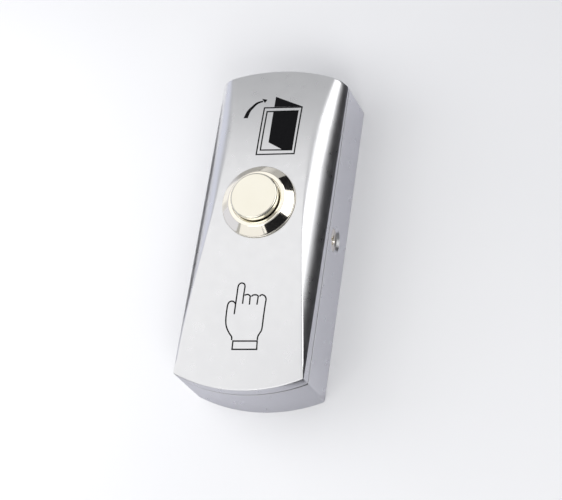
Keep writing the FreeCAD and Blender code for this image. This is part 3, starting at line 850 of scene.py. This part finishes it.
print_sign("door_sign", [
    ink_line([(-3.29, 30.28), (6.61, 30.46), (6.86, 17.2), (-2.99, 16.91)], closed=True),
    ink_line([(-2.41, 29.18), (5.77, 29.39), (6.06, 18.23), (-2.16, 18.14)], closed=True),
    ink_field([(-0.77, 33.29), (-0.66, 30.38), (6.46, 30.48)]),
    ink_field([(-0.62, 29.2), (-0.28, 20.41), (3.95, 18.25), (6.04, 18.28), (5.77, 29.37)]),
    ink_arrow(smooth_line([(-7.41, 27.19), (-7.0, 28.99), (-6.42, 30.0), (-5.24, 31.43), (-3.85, 32.0)]),
              1.06, 0.42, [(-4.24, 32.72), (-3.32, 31.52), (-2.80, 32.47)]),
])
cuff = [(-2.05, -29.40), (4.22, -29.19), (4.31, -31.45), (-2.08, -31.68)]
print_sign("hand_sign", [
    ink_line(smooth_line([(-2.47, -23.27), (-2.41, -20.93), (-2.36, -18.8), (-2.31, -16.65),
                          (-1.95, -15.85), (-1.34, -15.58), (-0.65, -15.8), (-0.29, -16.5),
                          (-0.35, -18.55), (-0.37, -20.75)])),
    ink_line(smooth_line([(-0.35, -18.50), (0.55, -18.30), (1.30, -18.75)])),
    ink_line(smooth_line([(1.30, -18.70), (1.35, -20.89)])),
    ink_line(smooth_line([(1.30, -18.80), (1.75, -18.42), (2.35, -18.33), (2.95, -18.45), (3.28, -18.80)])),
    ink_line(smooth_line([(3.28, -18.70), (3.19, -20.84)])),
    ink_line(smooth_line([(3.28, -18.75), (3.62, -18.40), (4.15, -18.28), (4.85, -18.62), (5.27, -19.40),
                          (5.22, -20.71), (5.13, -23.6), (5.05, -26.54), (4.62, -27.6), (4.27, -28.32),
                          (4.23, -29.15)])),
    ink_line(smooth_line([(-2.38, -20.97), (-2.85, -20.45), (-3.46, -20.38), (-3.97, -20.97),
                          (-4.08, -22.8), (-4.03, -24.75), (-3.70, -26.25), (-2.95, -27.55),
                          (-2.18, -28.50), (-2.06, -29.36)])),
    ink_line(cuff, closed=True),
])


# Inside are a rubber seal, a toothed washer and a brass nut that clamp the button to the cover,
# and the switch in its barrel: plastic parts, brass contacts, steel clips and screws.
# They keep the shapes that they have in the frame, and get the finish of their stock.
def finish_nodes(names, material):
    """Gives nodes of the frame their material and leaves their meshes alone."""
    for name in names:
        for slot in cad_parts[name].material_slots:
            slot.link = "OBJECT"
            slot.material = material


def metal(name, dark, bright, smooth, dull, grain):
    """Bare or plated stock metal, with a tone and a polish that vary a little."""
    material, shader, place = new_material(name)
    shader.inputs["Metallic"].default_value = 1.0
    vary(material, noise(material, place, 2 * mm), shader.inputs["Base Color"], dark, bright)
    vary(material, noise(material, place, grain, 3.0), shader.inputs["Roughness"], smooth, dull)
    relief(material, shader, noise(material, place, grain, 3.0), 0.005 * mm, 0.3)
    return material


def moulding(name, dark, bright, smooth, dull, grain):
    """Moulded plastic or rubber with a fine spark-eroded grain."""
    material, shader, place = new_material(name)
    vary(material, noise(material, place, 3 * mm), shader.inputs["Base Color"], dark, bright)
    vary(material, noise(material, place, grain, 3.0), shader.inputs["Roughness"], smooth, dull)
    relief(material, shader, noise(material, place, grain, 3.0), 0.01 * mm, 0.3)
    return material


finish_nodes(["flange_seal"], moulding(
    "seal_rubber", (0.012, 0.012, 0.012), (0.022, 0.022, 0.022), 0.6, 0.8, 0.3 * mm))
finish_nodes(["panel_nut"], metal(
    "nut_brass", (0.72, 0.55, 0.27), (0.80, 0.64, 0.34), 0.2, 0.32, 0.4 * mm))
finish_nodes(["contact_bridge", "fixed_contact_upper", "fixed_contact_lower"], metal(
    "contact_brass", (0.70, 0.50, 0.22), (0.80, 0.60, 0.30), 0.25, 0.38, 0.3 * mm))
finish_nodes(["lock_washer", "bridge_clip", "terminal_clamp_upper", "terminal_clamp_lower",
              "terminal_screw_upper", "terminal_screw_lower"], metal(
    "zinc_steel", (0.58, 0.60, 0.62), (0.68, 0.69, 0.70), 0.25, 0.4, 0.3 * mm))
spring_steel = metal("spring_steel", (0.38, 0.38, 0.39), (0.50, 0.50, 0.50), 0.25, 0.35, 0.3 * mm)
finish_nodes(["retaining_ring"], spring_steel)
finish_nodes(["plunger", "guide_plate"], moulding(
    "white_moulding", (0.74, 0.73, 0.70), (0.80, 0.79, 0.76), 0.4, 0.5, 0.4 * mm))
finish_nodes(["switch_housing"], moulding(
    "black_moulding", (0.018, 0.018, 0.019), (0.028, 0.028, 0.03), 0.4, 0.55, 0.4 * mm))


# The return spring is coiled from hard-drawn steel wire, with a closed coil at each end. It stands
# on the guide plate under the plunger's head. The real spring shortens when the cap is pressed, but here it
# is one fixed piece.
spring_low, spring_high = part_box("return_spring")
wire_radius, wire_sides, coil_steps = 0.25 * mm, 12, 32
coil_radius = spring_high.x - wire_radius
middle_coils, coil_gap = 4, 0.02 * mm
end_rise = 2 * wire_radius + coil_gap
middle_rise = (spring_high.z - spring_low.z - 2 * wire_radius - 2 * end_rise) / middle_coils
bm = bmesh.new()
bmesh.ops.create_circle(bm, cap_ends=False, segments=wire_sides, radius=wire_radius)
bmesh.ops.rotate(bm, verts=bm.verts, cent=(0, 0, 0), matrix=Matrix.Rotation(math.pi / 2, 3, "X"))
bmesh.ops.translate(bm, verts=bm.verts, vec=(coil_radius, 0, spring_low.z + wire_radius))
wire_end = list(bm.verts) + list(bm.edges)
for coils, rise in ((1, end_rise), (middle_coils, middle_rise), (1, end_rise)):
    wire_end = bmesh.ops.spin(
        bm, geom=wire_end, cent=(0, 0, 0), axis=(0, 0, 1), dvec=(0, 0, rise / coil_steps),
        angle=2 * math.pi * coils, steps=coil_steps * coils, use_merge=False, use_duplicate=False,
    )["geom_last"]
bmesh.ops.holes_fill(bm, edges=[e for e in bm.edges if e.is_boundary], sides=0)
bmesh.ops.recalc_face_normals(bm, faces=bm.faces)
bmesh.ops.translate(bm, verts=bm.verts, vec=axis_place)
coil = link_piece("coil_spring", bm)
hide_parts("return_spring")
dress(coil, spring_steel)
shade(coil, 40)
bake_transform(coil)
